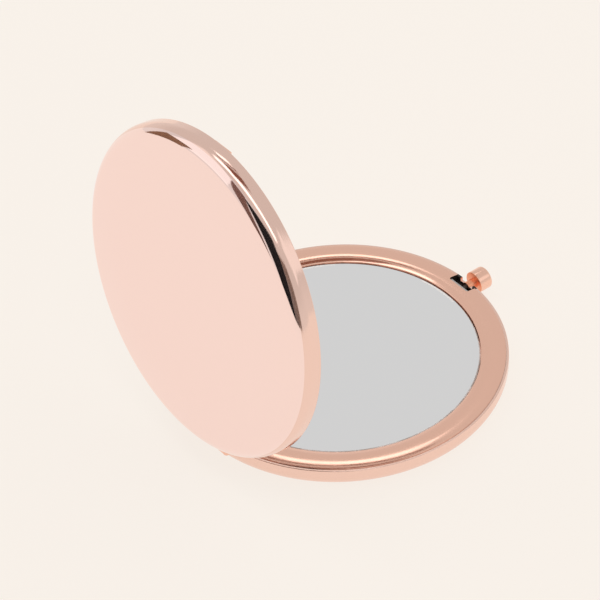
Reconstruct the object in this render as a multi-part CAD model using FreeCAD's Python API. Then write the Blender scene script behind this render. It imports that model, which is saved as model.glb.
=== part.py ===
import FreeCAD, Part
import math
import os

# Round compact mirror. Two stamped covers each hold a cast frame and a glass mirror. A pin hinge at
# the back joins the two halves, and a push button catch at the front keeps them shut.
# Millimetres. Z is up, the button is towards -Y, the hinge is at +Y and its axis lies along X.
# The origin is the middle of the flat face that the base stands on.
# A reach is a distance from the Z axis. A depth is measured from the base's bezel down into the base.

# Case
case_radius = 33.0
half_height = 5.35
closing_gap = 0.3
open_angle = 83.0

# Stamped covers
sheet = 0.5
rim_depth = 0.35
shoulder_radius = 2.9
crown_band = 8.1
crown_rise = 0.45

# Cast frames
frame_fit = 0.1
seat_gap = 0.02
bezel_width = 4.8
bezel_crown_radius = 5.6
bezel_lip_radius = 0.2
bezel_skin = 1.0
skirt_thickness = 1.0
inner_wall = 1.0
ledge_width = 2.3
ledge_thickness = 0.7

# Mirrors, their tape and the pads behind them
mirror_recess = 0.7
mirror_clearance = 0.15
mirror_thickness = 1.0
mirror_arris = 0.15
tape_thickness = 0.2
tape_margin = 0.2
pad_margin = 0.5

# Hinge
hinge_offset = 0.3
hinge_lift = 0.4
pin_radius = 0.6
pin_fit = 0.05
pin_inset = 0.15
centre_knuckle = 6.0
side_knuckle = 4.8
knuckle_gap = 0.2
hinge_clearance = 0.3
lug_bite = 0.8
lug_drop = 0.25

# Share of one half's height that the hinge barrel's radius takes
barrel_share = 0.28

# Slot for the hook, open through the outer edge of the base's bezel
slot_width = 5.5
slot_length = 1.9
slot_corner = 0.45

# Button
button_depth = 1.8
neck_radius = 1.0
neck_show = 1.65
neck_fit = 0.06
head_radius = 2.3
head_length = 2.75
head_front_rounding = 0.4
head_back_rounding = 0.15
stem_radius = 0.6
spigot_radius = 0.4
button_travel = 0.9

# Hook on the lid
hook_width = 4.6
hook_thickness = 0.35
hook_slot_gap = 0.1
hook_floor_gap = 0.8
hook_root = 2.0
hook_fit = 0.02
hook_rounding = 0.25
barb_reach = 0.3
barb_height = 0.28
barb_land = 0.1

# Catch on the button stem
catch_sheet = 0.3
catch_width = 5.0
catch_bend = 0.4
catch_roof = 0.25
lip_gap = 0.1
barb_gap = 0.07
web_gap = 0.4
stem_gap = 0.1
slide_gap = 0.08
stop_gap = 0.03

# Latch housing, its keeper and the rivets
pocket_gap = 0.2
housing_wall = 0.8
keeper_thickness = 0.4
keeper_clearance = 0.2
boss_radius = 1.2
boss_overhang = 0.9
boss_set_in = 2.1
rivet_radius = 0.45
rivet_floor = 0.5
rivet_head_radius = 0.85
rivet_head_height = 0.2

# Latch spring
spring_length = 3.2
spring_room = 0.2
spring_turns = 4
peg_length = 1.0

# Shares of the spring's outer radius: its wire, and the peg inside it
wire_share = 0.3125
peg_share = 0.5

# Length by which a cut runs past the piece that it cuts
overrun = 1.0

# Sizes that follow from those above
shoulder_reach = case_radius - shoulder_radius
shoulder_depth = half_height - crown_rise
wall_depth = shoulder_depth - shoulder_radius
land_radius = shoulder_reach - crown_band
crown_radius = (crown_band ** 2 + crown_rise ** 2) / (2 * crown_rise) + shoulder_radius
crown_lean = math.degrees(math.asin(crown_band / (crown_radius - shoulder_radius)))

frame_radius = case_radius - sheet - frame_fit
frame_overhang = frame_radius - shoulder_reach
skirt_depth = wall_depth + math.sqrt((shoulder_radius - sheet) ** 2 - frame_overhang ** 2) - seat_gap
bezel_reach = frame_radius - bezel_width
bezel_middle = frame_radius - bezel_width / 2
ledge_depth = mirror_recess + mirror_thickness + tape_thickness
ledge_reach = bezel_reach - ledge_width

barrel_radius = half_height * barrel_share
hinge_y = case_radius + hinge_offset
base_hinge_rise = closing_gap / 2 + hinge_lift
lid_hinge_rise = closing_gap / 2 - hinge_lift
hinge_z = half_height + base_hinge_rise
side_start = centre_knuckle / 2 + knuckle_gap
side_end = side_start + side_knuckle
notch_half = side_end + hinge_clearance
lug_root = math.sqrt(frame_radius ** 2 - side_end ** 2) - lug_bite

slot_inner = frame_radius - slot_length
barb_tip = slot_inner + hook_slot_gap
hook_inner = barb_tip + barb_reach
hook_outer = hook_inner + hook_thickness
lip_tip = hook_inner - lip_gap
web_outer = barb_tip - web_gap
web_inner = web_outer - catch_sheet
spring_seat = web_inner - spring_length
stop_reach = web_outer + stop_gap
housing_inner = spring_seat - housing_wall
housing_outer = stop_reach + housing_wall
pocket_width = catch_width + 2 * pocket_gap
housing_half = pocket_width / 2 + housing_wall
boss_x = housing_half + boss_overhang
boss_reach = housing_inner + boss_set_in

lip_depth = catch_roof + slide_gap
barb_depth = lip_depth + catch_sheet + barb_gap
hook_depth = barb_depth + barb_height
slot_floor = hook_depth + hook_floor_gap
keeper_depth = shoulder_depth - sheet - keeper_clearance - keeper_thickness
rivet_top = ledge_depth + rivet_floor
spring_depth = (ledge_depth + keeper_depth) / 2
spring_radius = (keeper_depth - ledge_depth) / 2 - spring_room
spring_wire = spring_radius * wire_share
peg_radius = spring_radius * peg_share
head_inner = case_radius + neck_show
head_outer = head_inner + head_length

Vector = FreeCAD.Vector
UP = Vector(0, 0, 1)
ACROSS = Vector(1, 0, 0)
FRONT = Vector(0, -1, 0)
HINGE = Vector(0, hinge_y, hinge_z)
PARTING = Vector(0, 0, half_height + closing_gap / 2)


# Drawing helpers

def line(start, end):
    return Part.LineSegment(start, end).toShape()


def arc(start, middle, end):
    return Part.Arc(start, middle, end).toShape()


def section_point(reach, depth):
    """A point of a turned section, in the half plane through +X."""
    return Vector(reach, 0, half_height - depth)


def polar(centre, radius, lean):
    """A section point on a circle about (reach, depth), leaning out from the depth direction."""
    reach = centre[0] + radius * math.sin(math.radians(lean))
    depth = centre[1] + radius * math.cos(math.radians(lean))
    return section_point(reach, depth)


def front_point(reach, depth):
    """A point of a section through the latch, in the half plane through -Y."""
    return Vector(0, -reach, half_height - depth)


def closed_wire(points):
    return Part.Wire([line(a, b) for a, b in zip(points, points[1:] + points[:1])])


def turned(edges):
    """The solid that a closed section makes round the Z axis."""
    return Part.Face(Part.Wire(edges)).revolve(Vector(), UP, 360)


def disc(radius, top, bottom):
    return Part.makeCylinder(radius, bottom - top, Vector(0, 0, half_height - bottom))


def across(wire, width):
    """A flat section in the YZ plane drawn out to a width that is centred on X."""
    face = Part.Face(wire)
    face.translate(ACROSS * (-width / 2))
    return face.extrude(ACROSS * width)


def front_block(width, inner, outer, top, bottom):
    """A block centred on X, between two reaches in front of the axis and two depths."""
    corner = Vector(-width / 2, -outer, half_height - bottom)
    return Part.makeBox(width, outer - inner, bottom - top, corner)


def front_rod(radius, inner, outer, depth):
    """A rod along Y, between two reaches in front of the axis."""
    return Part.makeCylinder(radius, outer - inner, front_point(inner, depth), FRONT)


def post(radius, x, reach, top, bottom):
    return Part.makeCylinder(radius, bottom - top, Vector(x, -reach, half_height - bottom))


def hinge_rod(radius, start, end, rise):
    """A rod along X between two places, on a hinge axis that rises above the bezel."""
    return Part.makeCylinder(radius, end - start, Vector(start, hinge_y, half_height + rise), ACROSS)


def opened(shape):
    """Swing a piece of the closed lid up to the angle at which the lid stands."""
    swung = shape.copy()
    swung.rotate(HINGE, -ACROSS, open_angle)
    return swung


def lid_side(shape):
    """The lid's copy of a piece of the base, closed over it."""
    return shape.mirror(PARTING, UP)


# Covers: pans stamped from sheet, with a straight wall, a round shoulder and a shallow crown

def cover_skin(inset):
    """Points down one face of the sheet, from the end of the wall to the middle of the land."""
    shoulder = (shoulder_reach, wall_depth)
    crown = (land_radius, half_height - crown_radius)
    return [
        polar(shoulder, shoulder_radius - inset, 90),
        polar(shoulder, shoulder_radius - inset, (90 + crown_lean) / 2),
        polar(shoulder, shoulder_radius - inset, crown_lean),
        polar(crown, crown_radius - inset, crown_lean / 2),
        polar(crown, crown_radius - inset, 0),
        section_point(0, half_height - inset),
    ]


def notched_cover(hinge_rise):
    rim = rim_depth + sheet / 2
    outer_rim = section_point(case_radius, rim)
    rim_top = section_point(case_radius - sheet / 2, rim_depth)
    inner_rim = section_point(case_radius - sheet, rim)
    outside = cover_skin(0)
    inside = cover_skin(sheet)
    pan = turned([
        arc(inner_rim, rim_top, outer_rim),
        line(outer_rim, outside[0]),
        arc(outside[0], outside[1], outside[2]),
        arc(outside[2], outside[3], outside[4]),
        line(outside[4], outside[5]),
        line(outside[5], inside[5]),
        line(inside[5], inside[4]),
        arc(inside[4], inside[3], inside[2]),
        arc(inside[2], inside[1], inside[0]),
        line(inside[0], inner_rim),
    ])
    notch_depth = barrel_radius - hinge_rise + hinge_clearance
    notch_corner = Vector(-notch_half, lug_root, half_height - notch_depth)
    return pan.cut(Part.makeBox(2 * notch_half, hinge_y - lug_root, notch_depth, notch_corner))


def base_cover():
    stem_hole = front_rod(neck_radius + neck_fit, shoulder_reach, case_radius + overrun, button_depth)
    return notched_cover(base_hinge_rise).cut(stem_hole)


def lid_cover():
    return opened(lid_side(notched_cover(lid_hinge_rise)))


# Frames: cast rings with a bezel, a skirt inside the cover wall and a ledge under the glass

def plain_ring():
    """A crowned bezel with a small rounding down each side, over the skirt and the mirror ledge."""
    lip = bezel_lip_radius
    spread = bezel_width / 2 - lip
    swing = bezel_crown_radius - lip
    lean = math.degrees(math.asin(spread / swing))
    lip_drop = bezel_crown_radius - math.sqrt(swing ** 2 - spread ** 2)
    crown = (bezel_middle, bezel_crown_radius)
    outer = (frame_radius - lip, lip_drop)
    inner = (bezel_reach + lip, lip_drop)
    outer_side = polar(outer, lip, 90)
    outer_top = polar(crown, bezel_crown_radius, 180 - lean)
    inner_top = polar(crown, bezel_crown_radius, 180 + lean)
    inner_side = polar(inner, lip, 270)
    skirt_reach = frame_radius - skirt_thickness
    wall_reach = bezel_reach + inner_wall
    corners = [
        outer_side,
        section_point(frame_radius, skirt_depth),
        section_point(skirt_reach, skirt_depth),
        section_point(skirt_reach, bezel_skin),
        section_point(wall_reach, bezel_skin),
        section_point(wall_reach, ledge_depth + ledge_thickness),
        section_point(ledge_reach, ledge_depth + ledge_thickness),
        section_point(ledge_reach, ledge_depth),
        section_point(bezel_reach, ledge_depth),
        inner_side,
    ]
    edges = [arc(inner_top, polar(crown, bezel_crown_radius, 180), outer_top)]
    edges += [arc(outer_top, polar(outer, lip, (270 - lean) / 2), outer_side)]
    edges += [line(a, b) for a, b in zip(corners, corners[1:])]
    edges += [arc(inner_side, polar(inner, lip, (450 + lean) / 2), inner_top)]
    return turned(edges)


def lug(start, end, rise):
    """One knuckle and the foot that ties it to the ring, between two places on X."""
    def hinge_point(y, height):
        return Vector(start, y, half_height + height)

    inside_y = hinge_y - math.sqrt(barrel_radius ** 2 - (rise + lug_drop) ** 2)
    under = hinge_point(hinge_y, rise - barrel_radius)
    behind = hinge_point(hinge_y + barrel_radius, rise)
    inside = hinge_point(inside_y, -lug_drop)
    root_top = hinge_point(lug_root, -lug_drop)
    root_bottom = hinge_point(lug_root, rise - barrel_radius)
    edges = [line(root_bottom, under), arc(under, behind, inside)]
    edges += [line(inside, root_top), line(root_top, root_bottom)]
    return Part.Face(Part.Wire(edges)).extrude(ACROSS * (end - start))


def hinged_ring(spans, bore_radius, rise):
    """A ring with a hollow for the whole barrel and its own knuckles on the spans of X given."""
    hollow = hinge_rod(barrel_radius + hinge_clearance, -notch_half, notch_half, rise)
    ring = plain_ring().cut(hollow)
    for start, end in spans:
        ring = ring.fuse(lug(start, end, rise))
    return ring.cut(hinge_rod(bore_radius, -notch_half, notch_half, rise)).removeSplitter()


def hook_slot():
    """The slot that the hook drops through, with rounded inner corners and an open front."""
    middle = slot_width / 2 - slot_corner
    corner_reach = slot_inner + slot_corner
    slot = front_block(slot_width, corner_reach, case_radius, -overrun, slot_floor)
    slot = slot.fuse(front_block(2 * middle, slot_inner, case_radius, -overrun, slot_floor))
    for x in (-middle, middle):
        slot = slot.fuse(post(slot_corner, x, corner_reach, -overrun, slot_floor))
    return slot


def base_frame():
    spans = [(-side_end, -side_start), (side_start, side_end)]
    ring = hinged_ring(spans, pin_radius, base_hinge_rise)
    ring = ring.fuse(front_block(2 * housing_half, housing_inner, housing_outer, ledge_depth, keeper_depth))
    for x in (-boss_x, boss_x):
        ring = ring.fuse(post(boss_radius, x, boss_reach, ledge_depth, keeper_depth))
    skirt_reach = frame_radius - skirt_thickness
    web_back = web_inner - button_travel - slide_gap
    ring = ring.cut(front_block(pocket_width, stop_reach, skirt_reach, catch_roof, slot_floor))
    ring = ring.cut(front_block(pocket_width, web_back, stop_reach, catch_roof, keeper_depth))
    ring = ring.cut(front_block(pocket_width, spring_seat, stop_reach, ledge_depth, keeper_depth))
    ring = ring.cut(hook_slot())
    ways = [(stem_radius, web_outer, skirt_reach), (neck_radius, skirt_reach, case_radius)]
    for radius, start, end in ways:
        way = radius + stem_gap
        ring = ring.cut(front_rod(way, start, end, button_depth))
        ring = ring.cut(front_block(2 * way, start, end, button_depth, keeper_depth))
    for x in (-boss_x, boss_x):
        ring = ring.cut(post(rivet_radius, x, boss_reach, rivet_top, keeper_depth))
    peg = front_rod(peg_radius, housing_inner, spring_seat + peg_length, spring_depth)
    return ring.fuse(peg).removeSplitter()


def lid_frame():
    half_span = centre_knuckle / 2
    ring = lid_side(hinged_ring([(-half_span, half_span)], pin_radius + pin_fit, lid_hinge_rise))
    seat = front_block(hook_width + 2 * hook_fit, hook_inner - hook_fit, hook_outer + hook_fit,
                       -closing_gap - hook_root - hook_fit, 0)
    return opened(ring.cut(seat))


# Mirrors, tape and pads

def mirror():
    radius = bezel_reach - mirror_clearance
    back = mirror_recess + mirror_thickness
    points = [
        section_point(0, mirror_recess),
        section_point(radius - mirror_arris, mirror_recess),
        section_point(radius, mirror_recess + mirror_arris),
        section_point(radius, back),
        section_point(0, back),
    ]
    return turned(closed_wire(points).Edges)


def mirror_tape():
    back = mirror_recess + mirror_thickness
    outer = bezel_reach - mirror_clearance - tape_margin
    return disc(outer, back, ledge_depth).cut(disc(ledge_reach + tape_margin, back, ledge_depth))


def backing_pad():
    return disc(land_radius - pad_margin, mirror_recess + mirror_thickness, half_height - sheet)


def hinge_pin():
    return hinge_rod(pin_radius, pin_inset - side_end, side_end - pin_inset, base_hinge_rise)


# Latch: hook, button, catch, spring and keeper

def catch_hook():
    """A thin tongue that drops into the slot above the stem, with a barb towards the hinge."""
    nose_start = front_point(hook_outer, hook_depth - hook_rounding)
    nose_end = front_point(hook_outer - hook_rounding, hook_depth)
    nose_middle = front_point(hook_outer - hook_rounding * (1 - math.sqrt(0.5)),
                              hook_depth - hook_rounding * (1 - math.sqrt(0.5)))
    corners = [
        nose_end,
        front_point(hook_inner, hook_depth),
        front_point(barb_tip, barb_depth + barb_land),
        front_point(barb_tip, barb_depth),
        front_point(hook_inner, barb_depth),
        front_point(hook_inner, -closing_gap - hook_root),
        front_point(hook_outer, -closing_gap - hook_root),
        nose_start,
    ]
    edges = [line(a, b) for a, b in zip(corners, corners[1:])]
    edges += [arc(nose_start, nose_middle, nose_end)]
    return opened(across(Part.Wire(edges), hook_width))


def button_knob():
    """Turned head, neck, stem and spigot, drawn as (radius, reach) about the stem's axis."""
    def knob_point(radius, reach):
        return Vector(radius, -reach, half_height - button_depth)

    def rounding(reach, radius, lean):
        middle = head_radius - radius
        turn = math.radians(lean)
        return knob_point(middle + radius * math.sin(turn), reach + radius * math.cos(turn))

    front = head_outer - head_front_rounding
    back = head_inner + head_back_rounding
    front_start = rounding(front, head_front_rounding, 0)
    front_end = rounding(front, head_front_rounding, 90)
    back_start = rounding(back, head_back_rounding, 90)
    back_end = rounding(back, head_back_rounding, 180)
    stem = [
        back_end,
        knob_point(neck_radius, head_inner),
        knob_point(neck_radius, frame_radius),
        knob_point(stem_radius, frame_radius),
        knob_point(stem_radius, web_outer),
        knob_point(spigot_radius, web_outer),
        knob_point(spigot_radius, web_inner),
        knob_point(0, web_inner),
        knob_point(0, head_outer),
        front_start,
    ]
    edges = [line(a, b) for a, b in zip(stem, stem[1:])]
    edges += [arc(front_start, rounding(front, head_front_rounding, 45), front_end)]
    edges += [line(front_end, back_start)]
    edges += [arc(back_start, rounding(back, head_back_rounding, 135), back_end)]
    return Part.Face(Part.Wire(edges)).revolve(front_point(0, button_depth), FRONT, 360)


def latch_catch():
    """Bent sheet: a web across the stem and a lip that reaches out over the barb."""
    bottom = keeper_depth - slide_gap
    bend_start = front_point(web_inner + catch_bend, lip_depth)
    bend_end = front_point(web_inner, lip_depth + catch_bend)
    bend_middle = front_point(web_inner + catch_bend * (1 - math.sqrt(0.5)),
                              lip_depth + catch_bend * (1 - math.sqrt(0.5)))
    lip_under = lip_depth + catch_sheet
    corners = [
        bend_end,
        front_point(web_inner, bottom),
        front_point(web_outer, bottom),
        front_point(web_outer, lip_under),
        front_point(lip_tip, lip_under),
        front_point(lip_tip, lip_depth),
        bend_start,
    ]
    edges = [line(a, b) for a, b in zip(corners, corners[1:])]
    edges += [arc(bend_start, bend_middle, bend_end)]
    catch = across(Part.Wire(edges), catch_width)
    return catch.cut(front_rod(spigot_radius, spring_seat, slot_inner, button_depth))


def latch_keeper():
    under = keeper_depth + keeper_thickness
    plate = front_block(2 * housing_half, housing_inner, stop_reach, keeper_depth, under)
    for x in (-boss_x, boss_x):
        plate = plate.fuse(post(boss_radius, x, boss_reach, keeper_depth, under))
    for x in (-boss_x, boss_x):
        plate = plate.cut(post(rivet_radius, x, boss_reach, keeper_depth - overrun, under + overrun))
    return plate.removeSplitter()


def keeper_rivets():
    under_head = keeper_depth + keeper_thickness
    rivets = []
    for x in (-boss_x, boss_x):
        shank = post(rivet_radius, x, boss_reach, rivet_top, under_head)
        head = post(rivet_head_radius, x, boss_reach, under_head, under_head + rivet_head_height)
        rivets.append(shank.fuse(head).removeSplitter())
    return Part.makeCompound(rivets)


def coil_point(turn):
    """A place on the middle of the spring's wire and the direction of the wire there."""
    coil = spring_radius - spring_wire / 2
    pitch = (spring_length - spring_wire) / spring_turns
    angle = 2 * math.pi * turn
    start = front_point(web_inner - spring_wire / 2, spring_depth)
    place = start + Vector(coil * math.cos(angle), pitch * turn, coil * math.sin(angle))
    heading = Vector(-coil * math.sin(angle), pitch / (2 * math.pi), coil * math.cos(angle))
    return place, heading.normalize()


def bent_wire(start, heading, end):
    """The arc that leaves start along a heading and reaches end."""
    chord = end - start
    along = Vector(chord).normalize()
    lift = heading - along * heading.dot(along)
    half_turn = math.atan2(lift.Length, heading.dot(along)) / 2
    middle = start + chord / 2 + lift.normalize() * (chord.Length / 2 * math.tan(half_turn))
    return arc(start, middle, end)


def quarter_turn(first, last):
    """Two arcs that follow the coil between two places on it."""
    start, leaving = coil_point(first)
    end, arriving = coil_point(last)
    chord = end - start
    slack = 1 - leaving.dot(arriving)
    lead = chord.dot(leaving + arriving)
    reach = (math.sqrt(lead ** 2 + 2 * slack * chord.dot(chord)) - lead) / (2 * slack)
    joint = (start + leaving * reach + end - arriving * reach) / 2
    return [bent_wire(start, leaving, joint), bent_wire(end, -arriving, joint)]


def latch_spring():
    quarters = 4 * spring_turns
    path = []
    for quarter in range(quarters):
        path += quarter_turn(quarter / 4, (quarter + 1) / 4)
    start, heading = coil_point(0)
    section = Part.Wire(Part.Circle(start, heading, spring_wire / 2).toShape())
    return Part.Wire(Part.__sortEdges__(path)).makePipeShell([section], True, False)


def spring_gap():
    """The least gap between the spring's wire and itself, a half turn or more along it."""
    steps = 24
    places = [coil_point(step / steps)[0] for step in range(steps * spring_turns + 1)]
    apart = [a.distanceToPoint(b) for i, a in enumerate(places) for b in places[i + steps // 2:]]
    return min(apart) - spring_wire


pieces = {
    "base_cover": base_cover(),
    "base_frame": base_frame(),
    "base_mirror": mirror(),
    "base_mirror_tape": mirror_tape(),
    "base_backing_pad": backing_pad(),
    "hinge_pin": hinge_pin(),
    "latch_keeper": latch_keeper(),
    "keeper_rivets": keeper_rivets(),
    "latch_spring": latch_spring(),
    "button_knob": button_knob(),
    "latch_catch": latch_catch(),
    "lid_cover": lid_cover(),
    "lid_frame": lid_frame(),
    "lid_mirror": opened(lid_side(mirror())),
    "lid_mirror_tape": opened(lid_side(mirror_tape())),
    "lid_backing_pad": opened(lid_side(backing_pad())),
    "catch_hook": catch_hook(),
}

os.makedirs("parts", exist_ok=True)
for name, shape in pieces.items():
    shape.exportStep("parts/" + name + ".step")
    print(name, len(shape.Solids), "solids", round(shape.Volume, 2), "mm3", "valid", shape.isValid())
print("spring gap", round(spring_gap(), 3), "mm")
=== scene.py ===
import bmesh
import bpy
import math
from mathutils import Matrix, Vector


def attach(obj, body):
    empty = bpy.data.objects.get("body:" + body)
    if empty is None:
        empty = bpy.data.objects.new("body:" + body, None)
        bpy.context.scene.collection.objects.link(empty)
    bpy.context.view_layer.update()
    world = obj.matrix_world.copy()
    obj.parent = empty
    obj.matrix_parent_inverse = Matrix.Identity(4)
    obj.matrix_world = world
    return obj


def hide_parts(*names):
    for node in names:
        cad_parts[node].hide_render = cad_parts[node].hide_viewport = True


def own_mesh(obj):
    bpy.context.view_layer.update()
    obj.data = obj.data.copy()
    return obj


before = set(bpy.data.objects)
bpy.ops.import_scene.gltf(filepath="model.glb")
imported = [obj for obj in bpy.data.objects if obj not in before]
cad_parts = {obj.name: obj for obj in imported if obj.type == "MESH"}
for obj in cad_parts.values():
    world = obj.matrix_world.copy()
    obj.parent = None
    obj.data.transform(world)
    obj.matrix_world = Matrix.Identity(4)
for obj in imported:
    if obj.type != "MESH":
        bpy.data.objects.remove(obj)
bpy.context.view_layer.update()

# Pieces are drawn in millimetres, closed and lying flat, and are scaled to metres when finished.
# Z is up, the button is towards -Y and the hinge axis lies along X at the +Y side.

# Base cover
# A pan stamped from thin steel sheet, with a shallow crown, a round shoulder and a straight wall.
# It is plated in rose gold: the crown and shoulder are polished, and the wall is brushed round. The
# rim is notched for the hook, deeper over the button's stem, and is painted near-black there as
# shade.
case_radius = 33.0
half_height = 5.35
cover_sheet = 0.5
rim_drop = 0.45
rim_rounding = 0.15
crown_land = 22.0
crown_radius = 76.025
crown_lean = 6.361
shoulder_radius = 2.9
shoulder_reach = case_radius - shoulder_radius
shoulder_z = 3.35
# The brushed finish, painted darker on the lid as shade, lies above this height and beyond this reach.
brushed_shade_z = 1.58
brushed_shade_reach = 31.1
turned_steps = 256
millimetre = 0.001
weld = 0.0005
overcut = 1.0
touch = 0.01

hinge_y = 33.3
hinge_notch_half = 8.3
hinge_notch_inner = 30.6
base_notch_z = 4.102

stem_z = 3.55
stem_hole_radius = 1.06
hook_notch_half = 2.9
hook_notch_z = 4.78
stem_notch_half = 1.75
stem_notch_z = 4.05


def pen_down(reach, z):
    """Start a section in the XZ plane, with reach measured from the Z axis."""
    bm = bmesh.new()
    return bm, bm.verts.new((reach, 0, z))


def line_to(bm, last, reach, z):
    end = bmesh.ops.extrude_vert_indiv(bm, verts=[last])["verts"][0]
    end.co = (reach, 0, z)
    return end


def arc_about(bm, last, reach, z, degrees, steps):
    """Turn the pen about a centre, anticlockwise for a positive angle."""
    swept = bmesh.ops.spin(bm, geom=[last], cent=(reach, 0, z), axis=(0, -1, 0),
                           angle=math.radians(degrees), steps=steps)
    return [part for part in swept["geom_last"] if isinstance(part, bmesh.types.BMVert)][0]


def tidy_faces(bm):
    bmesh.ops.remove_doubles(bm, verts=bm.verts, dist=weld)
    bmesh.ops.recalc_face_normals(bm, faces=bm.faces)
    return bm


def turned(bm, steps=turned_steps):
    """Spin a section right round the Z axis."""
    bmesh.ops.spin(bm, geom=bm.verts[:] + bm.edges[:], cent=(0, 0, 0), axis=(0, 0, 1),
                   angle=math.tau, steps=steps, use_merge=True)
    return tidy_faces(bm)


def block(bm, low, high):
    """A box between two corners."""
    low, high = Vector(low), Vector(high)
    place = Matrix.Translation((low + high) / 2) @ Matrix.Diagonal((high - low).to_4d())
    return bmesh.ops.create_cube(bm, size=1, matrix=place)["verts"]


def rod(bm, radius, start, end, segments=64):
    """A round bar between two points."""
    start, end = Vector(start), Vector(end)
    lie = (end - start).to_track_quat("Z", "Y").to_matrix().to_4x4()
    place = Matrix.Translation((start + end) / 2) @ lie
    bmesh.ops.create_cone(bm, cap_ends=True, segments=segments, radius1=radius, radius2=radius,
                          depth=(end - start).length, matrix=place)


def workpiece(name, bm):
    mesh = bpy.data.meshes.new(name)
    bm.to_mesh(mesh)
    bm.free()
    piece = bpy.data.objects.new(name, mesh)
    bpy.context.scene.collection.objects.link(piece)
    return piece


def worked(bm, tool, operation):
    """Cut a tool out of a piece, or weld it on, and give back the piece."""
    piece = workpiece("workpiece", bm)
    cutter = workpiece("tool", tool)
    step = piece.modifiers.new("step", "BOOLEAN")
    step.operation = operation
    step.object = cutter
    step.solver = "MANIFOLD"
    result = bmesh.new()
    result.from_object(piece, bpy.context.evaluated_depsgraph_get())
    for spent in (piece, cutter):
        mesh = spent.data
        bpy.data.objects.remove(spent)
        bpy.data.meshes.remove(mesh)
    return tidy_faces(result)


def finished(name, bm, materials, sharp=30):
    """Scale a piece to metres and give it smooth faces with crisp edges."""
    bmesh.ops.scale(bm, vec=[millimetre] * 3, verts=bm.verts)
    for face in bm.faces:
        face.smooth = True
    piece = workpiece(name, bm)
    piece.data.set_sharp_from_angle(angle=math.radians(sharp))
    for material in materials:
        piece.data.materials.append(material)
    flats = piece.modifiers.new("flats", "WEIGHTED_NORMAL")
    flats.keep_sharp = True
    return piece


def cover_pan(notch_z):
    """The pan as it lies in the base, with its wall notched for the hinge down to a height."""
    bm, pen = pen_down(0, 0)
    pen = line_to(bm, pen, crown_land, 0)
    pen = arc_about(bm, pen, crown_land, crown_radius, crown_lean, 20)
    pen = arc_about(bm, pen, shoulder_reach, shoulder_z, 90 - crown_lean, 28)
    rim_z = half_height - rim_drop
    pen = line_to(bm, pen, case_radius, rim_z - rim_rounding)
    pen = arc_about(bm, pen, case_radius - rim_rounding, rim_z - rim_rounding, 90, 8)
    pen = line_to(bm, pen, case_radius - cover_sheet, rim_z)
    pen = line_to(bm, pen, case_radius - cover_sheet, shoulder_z)
    pen = arc_about(bm, pen, shoulder_reach, shoulder_z, crown_lean - 90, 14)
    pen = arc_about(bm, pen, crown_land, crown_radius, -crown_lean, 8)
    line_to(bm, pen, 0, cover_sheet)
    pan = turned(bm)
    notch = bmesh.new()
    block(notch, (-hinge_notch_half, hinge_notch_inner, notch_z),
          (hinge_notch_half, hinge_y, half_height + overcut))
    return worked(pan, notch, "DIFFERENCE")


def brushed_wall_painted_shade(bm):
    """The wall, rim and shoulder's start take the brushed finish, painted darker on the lid as shade.
    """
    for face in bm.faces:
        middle = face.calc_center_median()
        if middle.to_2d().length > brushed_shade_reach and middle.z > brushed_shade_z:
            face.material_index = 1


def add_node(material, kind, **values):
    """A node with its unlinked sockets set; an underscore in a name stands for a space."""
    node = material.node_tree.nodes.new(kind)
    for name, value in values.items():
        node.inputs[name.replace("_", " ")].default_value = value
    return node


def plain_material(name, colour, roughness, metallic=0):
    """A material of one colour, and its shader for the section to finish."""
    material = bpy.data.materials.new(name)
    material.use_nodes = True
    shader = material.node_tree.nodes["Principled BSDF"]
    shader.inputs["Base Color"].default_value = (*colour, 1)
    shader.inputs["Roughness"].default_value = roughness
    shader.inputs["Metallic"].default_value = metallic
    return material, shader


def worn_metal(name, colour, scale, low, high):
    """A metal with handling marks: patches that are duller, between two values of roughness."""
    material, shader = plain_material(name, colour, low, metallic=1)
    links = material.node_tree.links
    place = add_node(material, "ShaderNodeTexCoord")
    marks = add_node(material, "ShaderNodeTexNoise", Scale=scale, Detail=5, Roughness=0.65)
    spread = add_node(material, "ShaderNodeMapRange", From_Min=0.3, From_Max=0.75,
                      To_Min=low, To_Max=high)
    links.new(place.outputs["Object"], marks.inputs["Vector"])
    links.new(marks.outputs["Fac"], spread.inputs["Value"])
    links.new(spread.outputs["Result"], shader.inputs["Roughness"])
    return material


def brushed_metal(name, colour, roughness, tilt, strength):
    """A metal with fine lines round the case, drawn across its axis, which leans by the tilt."""
    material, shader = plain_material(name, colour, roughness, metallic=1)
    links = material.node_tree.links
    place = add_node(material, "ShaderNodeTexCoord")
    upright = add_node(material, "ShaderNodeMapping", Rotation=(math.radians(tilt), 0, 0))
    drawn = add_node(material, "ShaderNodeMapping", Scale=(40, 40, 9000))
    lines = add_node(material, "ShaderNodeTexNoise", Scale=1, Detail=3, Roughness=0.6)
    relief = add_node(material, "ShaderNodeBump", Strength=strength, Distance=0.00002)
    links.new(place.outputs["Object"], upright.inputs["Vector"])
    links.new(upright.outputs["Vector"], drawn.inputs["Vector"])
    links.new(drawn.outputs["Vector"], lines.inputs["Vector"])
    links.new(lines.outputs["Fac"], relief.inputs["Height"])
    links.new(relief.outputs["Normal"], shader.inputs["Normal"])
    return material


# The base's rose gold is a darker copy of the lid's polished rose gold, painted as shade.
base_gold_painted_shade = (0.93, 0.655, 0.56)
base_polish_painted_shade = worn_metal("polished_rose_gold_base_painted_shade", base_gold_painted_shade, scale=90, low=0.04, high=0.09)
base_wall_painted_shade = brushed_metal("brushed_rose_gold_base_painted_shade", base_gold_painted_shade, roughness=0.2, tilt=0, strength=0.25)
# A near-black dull metal: painted shade for the recesses of the cover, the frame and the knob's stem.
near_black_painted_shade = worn_metal("near_black_painted_shade", (0.09, 0.075, 0.07), scale=500, low=0.5, high=0.75)

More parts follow.
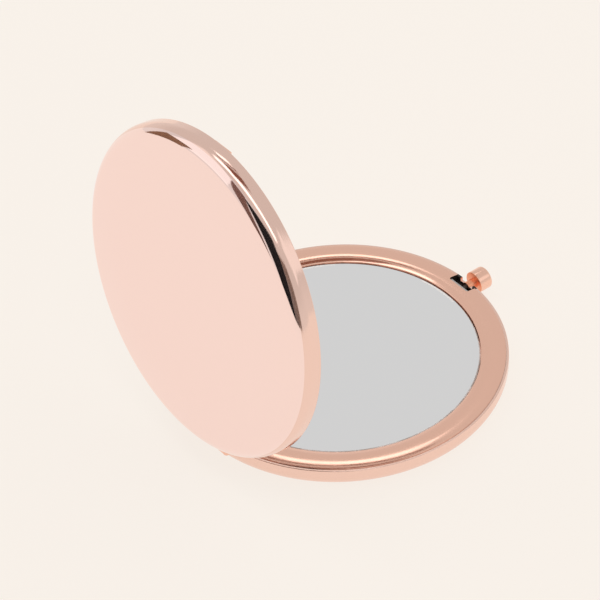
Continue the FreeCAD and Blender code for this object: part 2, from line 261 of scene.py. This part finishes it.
base_pan = cover_pan(base_notch_z)
stem_hole = bmesh.new()
rod(stem_hole, stem_hole_radius, (0, -shoulder_reach, stem_z), (0, -case_radius - overcut, stem_z))
base_pan = worked(base_pan, stem_hole, "DIFFERENCE")
for half_width, floor_z in [(hook_notch_half, hook_notch_z), (stem_notch_half, stem_notch_z)]:
    notch = bmesh.new()
    block(notch, (-half_width, -case_radius - overcut, floor_z),
          (half_width, -shoulder_reach, half_height + overcut))
    base_pan = worked(base_pan, notch, "DIFFERENCE")
brushed_wall_painted_shade(base_pan)
# The notch's inner wall and floor over the stem take the near-black painted shade.
for face in base_pan.faces:
    middle = face.calc_center_median()
    inside = middle.to_2d().length < case_radius - cover_sheet + touch and middle.z > shoulder_z
    notch_floor = abs(middle.z - hook_notch_z) < touch
    if (inside or notch_floor) and abs(middle.x) < hook_notch_half and middle.y < 0:
        face.material_index = 2
base_cover = finished("base_cover_shell", base_pan, [base_polish_painted_shade, base_wall_painted_shade, near_black_painted_shade])
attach(base_cover, "base")
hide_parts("base_cover")

# Base frame
# A cast zinc ring that fills the pan's mouth: a low crowned bezel, a skirt inside the wall, a ledge
# for the glass, two hinge knuckles, the hook's slot and the housing of the latch. The slot and the
# housing are painted near-black inside as shade.
bezel_reach = 27.6
bezel_middle = 30.0
bezel_edge = 32.47
inner_lip = 0.1
inner_crown = 5.6
inner_lip_z = 4.746
inner_lean = 24.72
outer_lip = 0.06
outer_crown = 10.0
outer_lip_z = 4.9935
outer_lean = 14.03
bezel_skin = 1.0
skirt_z = 2.684
skirt_reach = 31.4
inner_wall_reach = 28.6
ledge_reach = 25.3
ledge_top = 3.45
ledge_bottom = 2.75

base_axis_z = 5.9
barrel_radius = 1.498
barrel_hollow = 1.798
lug_top = 5.1
pin_radius = 0.6
knuckle_spans = [(-8.0, -3.2), (3.2, 8.0)]
knuckle_root = 30.6

keeper_z = 1.55
housing_half = 3.5
housing_inner = 25.9
housing_outer = 31.03
pocket_half = 2.7
pocket_roof = 5.1
stop_reach = 30.23
web_outer = 30.2
web_back = 28.92
spring_seat = 26.7
spring_z = 2.5
boss_x = 4.4
boss_reach = 28.0
boss_radius = 1.2
rivet_radius = 0.45
rivet_top = 2.95
peg_radius = 0.375
peg_root = 26.3
peg_end = 27.7
stem_room = 0.7
neck_room = 1.1
slot_half = 2.75
slot_inner = 30.25
slot_corner = 0.45
slot_floor = 3.57
slot_wall_lean = 0.3
small_steps = 32


def along_hinge(x, axis_z):
    return Vector((x, hinge_y, axis_z))


def bezel_ring(axis_z):
    """The plain ring, with a hollow at the back for the whole hinge barrel."""
    bm, start = pen_down(bezel_reach, inner_lip_z)
    pen = arc_about(bm, start, bezel_reach + inner_lip, inner_lip_z, inner_lean - 90, 6)
    pen = arc_about(bm, pen, bezel_middle, half_height - inner_crown, -inner_lean, 14)
    pen = arc_about(bm, pen, bezel_middle, half_height - outer_crown, -outer_lean, 14)
    pen = arc_about(bm, pen, bezel_edge - outer_lip, outer_lip_z, outer_lean - 90, 6)
    roof_z = half_height - bezel_skin
    for reach, z in [(bezel_edge, skirt_z), (skirt_reach, skirt_z), (skirt_reach, roof_z),
                     (inner_wall_reach, roof_z), (inner_wall_reach, ledge_bottom),
                     (ledge_reach, ledge_bottom), (ledge_reach, ledge_top), (bezel_reach, ledge_top)]:
        pen = line_to(bm, pen, reach, z)
    bm.edges.new((pen, start))
    ring = turned(bm)
    hollow = bmesh.new()
    rod(hollow, barrel_hollow, along_hinge(-hinge_notch_half, axis_z),
        along_hinge(hinge_notch_half, axis_z))
    return worked(ring, hollow, "DIFFERENCE")


def extruded(bm, depth):
    """Fill a closed section and draw it out along Y."""
    bmesh.ops.contextual_create(bm, geom=bm.edges[:])
    drawn = bmesh.ops.extrude_face_region(bm, geom=bm.faces[:])
    moved = [part for part in drawn["geom"] if isinstance(part, bmesh.types.BMVert)]
    bmesh.ops.translate(bm, vec=(0, depth, 0), verts=moved)
    return tidy_faces(bm)


def knuckle(start, end, axis_z):
    """One barrel of the hinge with the foot that ties it to the ring."""
    bm, first = pen_down(knuckle_root, axis_z - barrel_radius)
    pen = line_to(bm, first, hinge_y, axis_z - barrel_radius)
    lean = math.degrees(math.asin((axis_z - lug_top) / barrel_radius))
    pen = arc_about(bm, pen, hinge_y, axis_z, 270 + lean, 48)
    pen = line_to(bm, pen, knuckle_root, lug_top)
    bm.edges.new((pen, first))
    extruded(bm, end - start)
    bmesh.ops.rotate(bm, cent=(0, 0, 0), matrix=Matrix.Rotation(math.pi / 2, 3, "Z"), verts=bm.verts)
    bmesh.ops.translate(bm, vec=(end, 0, 0), verts=bm.verts)
    return bm


def hinge_bore(radius, axis_z):
    bore = bmesh.new()
    bore_half = hinge_notch_half + overcut
    rod(bore, radius, along_hinge(-bore_half, axis_z), along_hinge(bore_half, axis_z))
    return bore


def front_block(bm, half_width, inner, outer, low, high):
    """A box across the front, between two reaches from the Z axis."""
    return block(bm, (-half_width, -outer, low), (half_width, -inner, high))


base_ring = bezel_ring(base_axis_z)
for start, end in knuckle_spans:
    base_ring = worked(base_ring, knuckle(start, end, base_axis_z), "UNION")
housing = bmesh.new()
front_block(housing, housing_half, housing_inner, housing_outer, keeper_z, ledge_top)
base_ring = worked(base_ring, housing, "UNION")
for x in (-boss_x, boss_x):
    boss = bmesh.new()
    rod(boss, boss_radius, (x, -boss_reach, keeper_z), (x, -boss_reach, ledge_top), small_steps)
    base_ring = worked(base_ring, boss, "UNION")
base_ring = worked(base_ring, hinge_bore(pin_radius, base_axis_z), "DIFFERENCE")
pockets = [(pocket_half, stop_reach, skirt_reach, slot_floor, pocket_roof),
           (pocket_half, web_back, stop_reach, keeper_z - overcut, pocket_roof),
           (pocket_half, spring_seat, stop_reach, keeper_z - overcut, ledge_top),
           (stem_room, web_outer, skirt_reach, keeper_z - overcut, stem_z),
           (neck_room, skirt_reach, case_radius, keeper_z - overcut, stem_z)]
for half_width, inner, outer, low, high in pockets:
    pocket = bmesh.new()
    front_block(pocket, half_width, inner, outer, low, high)
    base_ring = worked(base_ring, pocket, "DIFFERENCE")
for room, inner, outer in [(stem_room, web_outer, skirt_reach), (neck_room, skirt_reach, case_radius)]:
    stem_way = bmesh.new()
    rod(stem_way, room, (0, -inner, stem_z), (0, -outer, stem_z))
    base_ring = worked(base_ring, stem_way, "DIFFERENCE")
hook_slot = bmesh.new()
front_block(hook_slot, slot_half, slot_inner, case_radius, slot_floor, half_height + overcut)
inner_corners = [edge for edge in hook_slot.edges
                 if all(abs(vert.co.y + slot_inner) < touch for vert in edge.verts)
                 and abs(edge.verts[0].co.z - edge.verts[1].co.z) > touch]
bmesh.ops.bevel(hook_slot, geom=inner_corners, offset=slot_corner, affect="EDGES", segments=6,
                profile=0.5, material=-1)
base_ring = worked(base_ring, hook_slot, "DIFFERENCE")
for x in (-boss_x, boss_x):
    rivet_hole = bmesh.new()
    rod(rivet_hole, rivet_radius, (x, -boss_reach, keeper_z - overcut), (x, -boss_reach, rivet_top),
        small_steps)
    base_ring = worked(base_ring, rivet_hole, "DIFFERENCE")
peg = bmesh.new()
rod(peg, peg_radius, (0, -peg_root, spring_z), (0, -peg_end, spring_z), small_steps)
base_ring = worked(base_ring, peg, "UNION")

# Faces sunk inside the slot and the latch housing take the near-black painted shade.
for face in base_ring.faces:
    middle = face.calc_center_median()
    sunk = middle.z < outer_lip_z or face.normal.z < slot_wall_lean
    if sunk and abs(middle.x) < slot_half + touch and -middle.y > web_back:
        face.material_index = 1

frame_polish = worn_metal("satin_rose_gold", (0.95, 0.595, 0.47), scale=160, low=0.1, high=0.18)
base_frame = finished("base_frame_ring", base_ring, [frame_polish, near_black_painted_shade])
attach(base_frame, "base")
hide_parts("base_frame")

# Base mirror
# A disc of 1 mm glass, silvered on the back, with a ground arris round the front edge. Inside the
# arris, two arcs of the face carry painted white glints. It sits in its bezel on a ring of tape, a
# little below the bezel's face.
mirror_radius = 27.45
mirror_top = 4.65
mirror_bottom = 3.65
mirror_arris = 0.25
# Painted glints: the width, the arcs in degrees and the noise levels of the white patches by the edge.
glint_width = 0.45
painted_glint_arcs = [(-95, -76), (-36, -21)]
glint_start = 0.42
glint_full = 0.48


def mirror_disc():
    arris_reach = mirror_radius - mirror_arris
    glint_reach = arris_reach - glint_width
    bm, pen = pen_down(0, mirror_top)
    pen = line_to(bm, pen, glint_reach, mirror_top)
    pen = line_to(bm, pen, arris_reach, mirror_top)
    pen = line_to(bm, pen, mirror_radius, mirror_top - mirror_arris)
    pen = line_to(bm, pen, mirror_radius, mirror_bottom)
    line_to(bm, pen, 0, mirror_bottom)
    disc = turned(bm)
    for face in disc.faces:
        middle = face.calc_center_median()
        reach = middle.to_2d().length
        turn = math.degrees(math.atan2(middle.y, middle.x))
        if reach > arris_reach:
            face.material_index = 1
        elif reach > glint_reach and any(start < turn < end for start, end in painted_glint_arcs):
            face.material_index = 2
    return disc


def tone_ramp(owner, low, high, low_at=0, high_at=1):
    """A ramp between two colours."""
    ramp = add_node(owner, "ShaderNodeValToRGB")
    for stop, colour, position in zip(ramp.color_ramp.elements, (low, high), (low_at, high_at)):
        stop.color = (*colour, 1)
        stop.position = position
    return ramp


def mottled(name, roughness, scale, fineness, **tones):
    """A dull material whose colour wanders between two tones."""
    material, shader = plain_material(name, tones["high"], roughness)
    links = material.node_tree.links
    place = add_node(material, "ShaderNodeTexCoord")
    grain = add_node(material, "ShaderNodeTexNoise", Scale=scale, Detail=6, Roughness=fineness)
    tone = tone_ramp(material, **tones)
    links.new(place.outputs["Object"], grain.inputs["Vector"])
    links.new(grain.outputs["Fac"], tone.inputs["Fac"])
    links.new(tone.outputs["Color"], shader.inputs["Base Color"])
    return material


silvered = worn_metal("silvered_glass", (0.9, 0.925, 0.955), scale=60, low=0.004, high=0.014)
ground_edge = mottled("ground_glass_edge", roughness=0.35, scale=260, fineness=0.65,
                      low=(0.7, 0.68, 0.66), high=(0.97, 0.97, 0.97), low_at=0.46, high_at=0.56)
ground_edge.node_tree.nodes["Principled BSDF"].inputs["IOR"].default_value = 1.52

# Painted glints: the silver turns to dull white where the noise is high.
painted_glint_edge, painted_glint_shader = plain_material("silver_edge_painted_glints", (1, 1, 1), 0.02, metallic=1)
glint_links = painted_glint_edge.node_tree.links
glint_place = add_node(painted_glint_edge, "ShaderNodeTexCoord")
glint_noise = add_node(painted_glint_edge, "ShaderNodeTexNoise", Scale=420, Detail=6, Roughness=0.7)
glint_links.new(glint_place.outputs["Object"], glint_noise.inputs["Vector"])
for socket, silver, glint_value in [("Metallic", 1, 0), ("Roughness", 0.02, 0.5)]:
    spread = add_node(painted_glint_edge, "ShaderNodeMapRange", From_Min=glint_start, From_Max=glint_full,
                      To_Min=silver, To_Max=glint_value)
    glint_links.new(glint_noise.outputs["Fac"], spread.inputs["Value"])
    glint_links.new(spread.outputs["Result"], painted_glint_shader.inputs[socket])

mirror_finishes = [silvered, ground_edge, painted_glint_edge]
base_mirror = finished("base_mirror_glass", mirror_disc(), mirror_finishes)
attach(base_mirror, "base")
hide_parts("base_mirror")

# Button
# A turned brass knob with its neck and the thin spigot that the catch is fixed on. The head's rim is
# rounded, and its side keeps the fine lines of the lathe. The neck and the back of the head are
# painted copper-orange as a warm reflection, and the stem is painted near-black as shade.
head_radius = 2.3
head_inner = 34.35
head_outer = 37.4
head_front_rounding = 0.4
head_back_rounding = 0.15
neck_radius = 1.0
neck_inner = 32.4
stem_radius = 0.6
spigot_radius = 0.4
web_inner = 29.9
knob_steps = 96

bm, pen = pen_down(0, web_inner)
for radius, reach in [(spigot_radius, web_inner), (spigot_radius, web_outer), (stem_radius, web_outer),
                      (stem_radius, neck_inner), (neck_radius, neck_inner), (neck_radius, head_inner),
                      (head_radius - head_back_rounding, head_inner)]:
    pen = line_to(bm, pen, radius, reach)
pen = arc_about(bm, pen, head_radius - head_back_rounding, head_inner + head_back_rounding, 90, 6)
pen = line_to(bm, pen, head_radius, head_outer - head_front_rounding)
pen = arc_about(bm, pen, head_radius - head_front_rounding, head_outer - head_front_rounding, 90, 10)
line_to(bm, pen, 0, head_outer)
knob = turned(bm, knob_steps)
bmesh.ops.rotate(knob, cent=(0, 0, 0), matrix=Matrix.Rotation(math.pi / 2, 3, "X"), verts=knob.verts)
bmesh.ops.translate(knob, vec=(0, 0, stem_z), verts=knob.verts)

# The stem and spigot, inside the frame, take the near-black painted shade.
for face in knob.faces:
    reach = -face.calc_center_median().y
    if reach < neck_inner:
        face.material_index = 1
    elif reach < head_inner + head_back_rounding:
        face.material_index = 2

knob_gold = (0.96, 0.61, 0.48)
knob_polish = brushed_metal("turned_rose_gold", knob_gold, roughness=0.2, tilt=-90, strength=0.15)
# The copper tone on the neck and the head's back is a painted warm reflection.
knob_neck_painted_reflection = worn_metal("copper_painted_reflection", (0.92, 0.42, 0.26), scale=600, low=0.25, high=0.4)
button_knob = finished("button_knob_turned", knob, [knob_polish, near_black_painted_shade, knob_neck_painted_reflection])
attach(button_knob, "button")
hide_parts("button_knob")

# Latch spring
# A coil of four turns of spring wire over a peg in the housing. It pushes the catch and the knob out,
# and shortens as the knob is pressed.
spring_wire = 0.117
spring_coil = 0.633
spring_turns = 4
spring_length = 3.2
spring_pitch = (spring_length - 2 * spring_wire) / spring_turns
spring_turn_steps = 28
spring_steps = spring_turn_steps * spring_turns

coil = bmesh.new()
bmesh.ops.create_circle(coil, cap_ends=False, segments=12, radius=spring_wire,
                        matrix=Matrix.Translation((spring_coil, 0, 0)))
first_ring = coil.edges[:]
swept = bmesh.ops.spin(coil, geom=coil.verts[:] + first_ring, cent=(0, 0, 0), axis=(0, -1, 0),
                       dvec=(0, spring_pitch * spring_turns / spring_steps, 0),
                       angle=math.tau * spring_turns, steps=spring_steps)
last_ring = [part for part in swept["geom_last"] if isinstance(part, bmesh.types.BMEdge)]
bmesh.ops.contextual_create(coil, geom=first_ring)
bmesh.ops.contextual_create(coil, geom=last_ring)
bmesh.ops.translate(coil, vec=(0, spring_wire - web_inner, spring_z), verts=coil.verts)
tidy_faces(coil)

spring_steel = worn_metal("spring_steel", (0.5, 0.49, 0.47), scale=900, low=0.22, high=0.4)
latch_spring = finished("latch_spring_coil", coil, [spring_steel])
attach(latch_spring, "base")
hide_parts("latch_spring")
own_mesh(latch_spring)

# Latch plate, rivets, catch and hinge pin
# Small steel parts: the sheet keeper under the housing with its two rivets, the bent catch on the
# button's spigot, and the straight pin pressed into the base's knuckles.
plain_steel = worn_metal("plain_steel", (0.52, 0.5, 0.48), scale=700, low=0.26, high=0.45)
for name in ("latch_keeper", "keeper_rivets", "latch_catch", "hinge_pin"):
    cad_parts[name].material_slots[0].material = plain_steel

# Tape rings and backing pads
# The glass is held by a ring of white double-sided tape, and a disc of grey card fills the space
# between the glass and the cover.
white_tape = mottled("white_tape", roughness=0.6, scale=1500, fineness=0.7,
                     low=(0.72, 0.71, 0.67), high=(0.88, 0.87, 0.84))
grey_card = mottled("grey_card", roughness=0.9, scale=900, fineness=0.7,
                    low=(0.36, 0.33, 0.29), high=(0.6, 0.56, 0.5))
for side in ("base", "lid"):
    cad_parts[side + "_mirror_tape"].material_slots[0].material = white_tape
    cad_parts[side + "_backing_pad"].material_slots[0].material = grey_card

# Lid cover
# A second pan from the same press tool, turned over and swung up on the hinge. It has the same
# polished crown and shoulder and the same brushed wall. Its polished crown keeps the plain rose gold;
# its wall's gold is a darker copy, painted as shade.
open_angle = 83.0
parting_z = 5.5
lid_notch_z = 3.302
hinge = Vector((0, hinge_y, base_axis_z))
swing = (Matrix.Translation(hinge) @ Matrix.Rotation(-math.radians(open_angle), 4, "X")
         @ Matrix.Translation(-hinge))
turn_over = Matrix.Translation((0, 0, 2 * parting_z)) @ Matrix.Diagonal((1, 1, -1, 1))


def turned_over(bm):
    """The lid's copy of a piece of the base, swung up to where the lid stands."""
    bmesh.ops.transform(bm, matrix=swing @ turn_over, verts=bm.verts)
    bmesh.ops.recalc_face_normals(bm, faces=bm.faces)
    return bm


# The lid's wall gold is a darker copy of its polished rose gold, painted as shade.
lid_wall_gold_painted_shade = (0.915, 0.655, 0.57)
lid_polish = worn_metal("polished_rose_gold_lid", (0.99, 0.77, 0.725), scale=90, low=0.04, high=0.09)
lid_wall_painted_shade = brushed_metal("brushed_rose_gold_lid_painted_shade", lid_wall_gold_painted_shade, roughness=0.1, tilt=open_angle,
                         strength=0.25)
lid_pan = cover_pan(lid_notch_z)
brushed_wall_painted_shade(lid_pan)
lid_cover = finished("lid_cover_shell", turned_over(lid_pan), [lid_polish, lid_wall_painted_shade])
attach(lid_cover, "lid")
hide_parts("lid_cover")

# Lid frame
# The lid's cast ring, like the base's but with one knuckle in the middle and a narrow seat that the
# hook is pressed into.
lid_axis_z = 5.1
lid_knuckle_half = 3.0
pin_clearance = 0.05
hook_half = 2.3
hook_outer = 31.25
hook_inner = 30.9
hook_fit = 0.02
hook_seat_depth = 2.0

lid_lug = knuckle(-lid_knuckle_half, lid_knuckle_half, lid_axis_z)
lid_ring = worked(bezel_ring(lid_axis_z), lid_lug, "UNION")
lid_ring = worked(lid_ring, hinge_bore(pin_radius + pin_clearance, lid_axis_z), "DIFFERENCE")
hook_seat = bmesh.new()
front_block(hook_seat, hook_half + hook_fit, hook_inner - hook_fit, hook_outer + hook_fit,
            half_height - hook_seat_depth - hook_fit, half_height + overcut)
lid_ring = worked(lid_ring, hook_seat, "DIFFERENCE")
lid_frame = finished("lid_frame_ring", turned_over(lid_ring), [frame_polish])
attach(lid_frame, "lid")
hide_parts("lid_frame")

# Lid mirror
# A second disc of the same glass, turned over and taped into the lid's bezel. It lies face to face with
# the base's mirror when the case is shut.
lid_mirror = finished("lid_mirror_glass", turned_over(mirror_disc()), mirror_finishes)
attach(lid_mirror, "lid")
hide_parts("lid_mirror")

# Hook
# A thin tongue of plated steel pressed into the lid's frame. Its barb drops into the slot, above the
# button's stem, and snaps under the lip of the catch.
hook_tip = 4.37
hook_root_z = 7.65
hook_nose = 0.25
barb_tip = 30.6
barb_z = 4.65
barb_land = 0.1
hook_edge = 0.04
hook_crease = 0.6

bm, first = pen_down(hook_outer, hook_root_z)
pen = line_to(bm, first, hook_outer, hook_tip + hook_nose)
pen = arc_about(bm, pen, hook_outer - hook_nose, hook_tip + hook_nose, -90, 8)
for reach, z in [(hook_inner, hook_tip), (barb_tip, barb_z - barb_land), (barb_tip, barb_z),
                 (hook_inner, barb_z), (hook_inner, hook_root_z)]:
    pen = line_to(bm, pen, reach, z)
bm.edges.new((pen, first))
tongue = extruded(bm, 2 * hook_half)
bmesh.ops.rotate(tongue, cent=(0, 0, 0), matrix=Matrix.Rotation(-math.pi / 2, 3, "Z"),
                 verts=tongue.verts)
bmesh.ops.translate(tongue, vec=(-hook_half, 0, 0), verts=tongue.verts)
corners = [edge for edge in tongue.edges
           if len(edge.link_faces) == 2 and edge.calc_face_angle() > hook_crease]
bmesh.ops.bevel(tongue, geom=corners, offset=hook_edge, affect="EDGES", segments=2, profile=0.5,
                material=-1)
bmesh.ops.transform(tongue, matrix=swing, verts=tongue.verts)
catch_hook = finished("catch_hook_tongue", tongue, [frame_polish])
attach(catch_hook, "lid")
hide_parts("catch_hook")

# Table top
# A wide sheet of cream paper that the mirror stands on, lit evenly where the camera or a reflection
# sees it. It still takes the mirror's soft shadow.
floor_radius = 3.0
cream = (0.985, 0.925, 0.86)
even_share = 0.84
sheet = bmesh.new()
bmesh.ops.create_circle(sheet, cap_ends=True, segments=96, radius=floor_radius)
paper, paper_shader = plain_material("cream_paper", cream, roughness=0.9)
paper_shader.inputs["Specular IOR Level"].default_value = 0
paper_links = paper.node_tree.links
paper_output = paper.node_tree.nodes["Material Output"]
ray = add_node(paper, "ShaderNodeLightPath")
seen = add_node(paper, "ShaderNodeMath")
seen_through = add_node(paper, "ShaderNodeMath")
share = add_node(paper, "ShaderNodeMapRange", To_Max=even_share)
glow = add_node(paper, "ShaderNodeEmission", Color=(*cream, 1), Strength=1)
even_light = add_node(paper, "ShaderNodeMixShader")
paper_links.new(ray.outputs["Is Camera Ray"], seen.inputs[0])
paper_links.new(ray.outputs["Is Glossy Ray"], seen.inputs[1])
paper_links.new(seen.outputs["Value"], seen_through.inputs[0])
paper_links.new(ray.outputs["Is Transmission Ray"], seen_through.inputs[1])
paper_links.new(seen_through.outputs["Value"], share.inputs["Value"])
paper_links.new(share.outputs["Result"], even_light.inputs["Fac"])
paper_links.new(paper_shader.outputs["BSDF"], even_light.inputs[1])
paper_links.new(glow.outputs["Emission"], even_light.inputs[2])
paper_links.new(even_light.outputs["Shader"], paper_output.inputs["Surface"])
table_top = workpiece("table_top", sheet)
table_top.data.materials.append(paper)

# Studio
# A grey room that is paler near the floor, with soft boxes above and at both sides. Black, grey and
# brown cards give the polished shoulder and the bezel their dark reflections.
room = bpy.data.worlds.new("grey_room")
room.use_nodes = True
bpy.context.scene.world = room
backdrop = room.node_tree.nodes["Background"]
backdrop.inputs["Strength"].default_value = 1
room_place = add_node(room, "ShaderNodeTexCoord")
room_height = add_node(room, "ShaderNodeSeparateXYZ")
room_tone = tone_ramp(room, low=(0.8, 0.775, 0.745), high=(0.705, 0.683, 0.66),
                      low_at=0.1, high_at=0.35)
room.node_tree.links.new(room_place.outputs["Generated"], room_height.inputs["Vector"])
room.node_tree.links.new(room_height.outputs["Z"], room_tone.inputs["Fac"])
room.node_tree.links.new(room_tone.outputs["Color"], backdrop.inputs["Color"])


def place_at(azimuth, elevation, distance):
    """A point round the mirror, with the azimuth measured from +X towards +Y."""
    azimuth, elevation = math.radians(azimuth), math.radians(elevation)
    out = distance * math.cos(elevation)
    up = distance * math.sin(elevation)
    return Vector((out * math.cos(azimuth), out * math.sin(azimuth), up))


def soft_box(name, place, width, height, radiance, level=False):
    """A lamp that faces the mirror, or hangs level and shines straight down."""
    lamp = bpy.data.lights.new(name, "AREA")
    lamp.shape = "RECTANGLE"
    lamp.size = width
    lamp.size_y = height
    lamp.energy = radiance * width * height * math.pi
    box = bpy.data.objects.new(name, lamp)
    box.location = place
    if not level:
        box.rotation_euler = place.to_track_quat("Z", "Y").to_euler()
    bpy.context.scene.collection.objects.link(box)


def screen(name, place, width, height, colour):
    """A flat card that faces the mirror and is seen only in its reflections."""
    bm = bmesh.new()
    bmesh.ops.create_grid(bm, x_segments=1, y_segments=1, size=0.5)
    lie = place.to_track_quat("Z", "Y").to_matrix().to_4x4()
    stand = Matrix.Translation(place) @ lie @ Matrix.Diagonal((width, height, 1, 1))
    bmesh.ops.transform(bm, matrix=stand, verts=bm.verts)
    card = workpiece(name, bm)
    paint, _ = plain_material(name, colour, roughness=1)
    card.data.materials.append(paint)
    card.visible_camera = False


soft_box("strip_box", place_at(-38.5, 57.7, 1.6), width=0.4, height=0.26, radiance=1.05)
soft_box("side_box", place_at(46, 32, 1.6), width=1.07, height=1.33, radiance=0.3)
soft_box("left_box", place_at(-150, 37, 1.6), width=0.83, height=0.74, radiance=0.3)
soft_box("overhead_strip", Vector((-0.1, 0.24, 1.5)), width=1.9, height=0.32, radiance=1.2, level=True)
flag_brown = (0.34, 0.16, 0.12)
screen("low_flag", place_at(-37, 64.2, 1.5), width=0.6, height=0.115, colour=flag_brown)
screen("high_flag", place_at(-37, 78.5, 1.5), width=0.6, height=0.395, colour=flag_brown)
screen("black_screen", place_at(107, 24.5, 1.5), width=0.94, height=1.56, colour=(0.012, 0.012, 0.014))
screen("grey_screen", place_at(136, 18, 1.55), width=0.78, height=1.21, colour=(0.32, 0.27, 0.25))
screen("mauve_card", place_at(76, 27, 1.3), width=0.284, height=1.3, colour=(0.24, 0.15, 0.13))
screen("brown_card", place_at(33, 8, 1.4), width=0.6, height=0.5, colour=(0.33, 0.2, 0.13))

# Camera
# A long lens at the photograph's place, with the mirror in the middle of a square frame. It is rolled
# by a few degrees, as the fit to the photograph's outlines gives.
camera_place = Vector((-0.407627, 0.308061, 0.468077))
camera_aim = Vector((0.012117, -0.000009, 0.01084))
camera_roll = -3.195
focal_length = 211.83
lens = bpy.data.cameras.new("camera")
lens.lens = focal_length
lens.sensor_width = 36
lens.clip_start = 0.01
camera = bpy.data.objects.new("camera", lens)
camera.location = camera_place
look = (camera_aim - camera_place).to_track_quat("-Z", "Y").to_matrix()
roll = Matrix.Rotation(math.radians(camera_roll), 3, "Z")
camera.rotation_euler = (look @ roll).to_euler()
bpy.context.scene.collection.objects.link(camera)
bpy.context.scene.camera = camera
bpy.context.scene.view_settings.view_transform = "Standard"
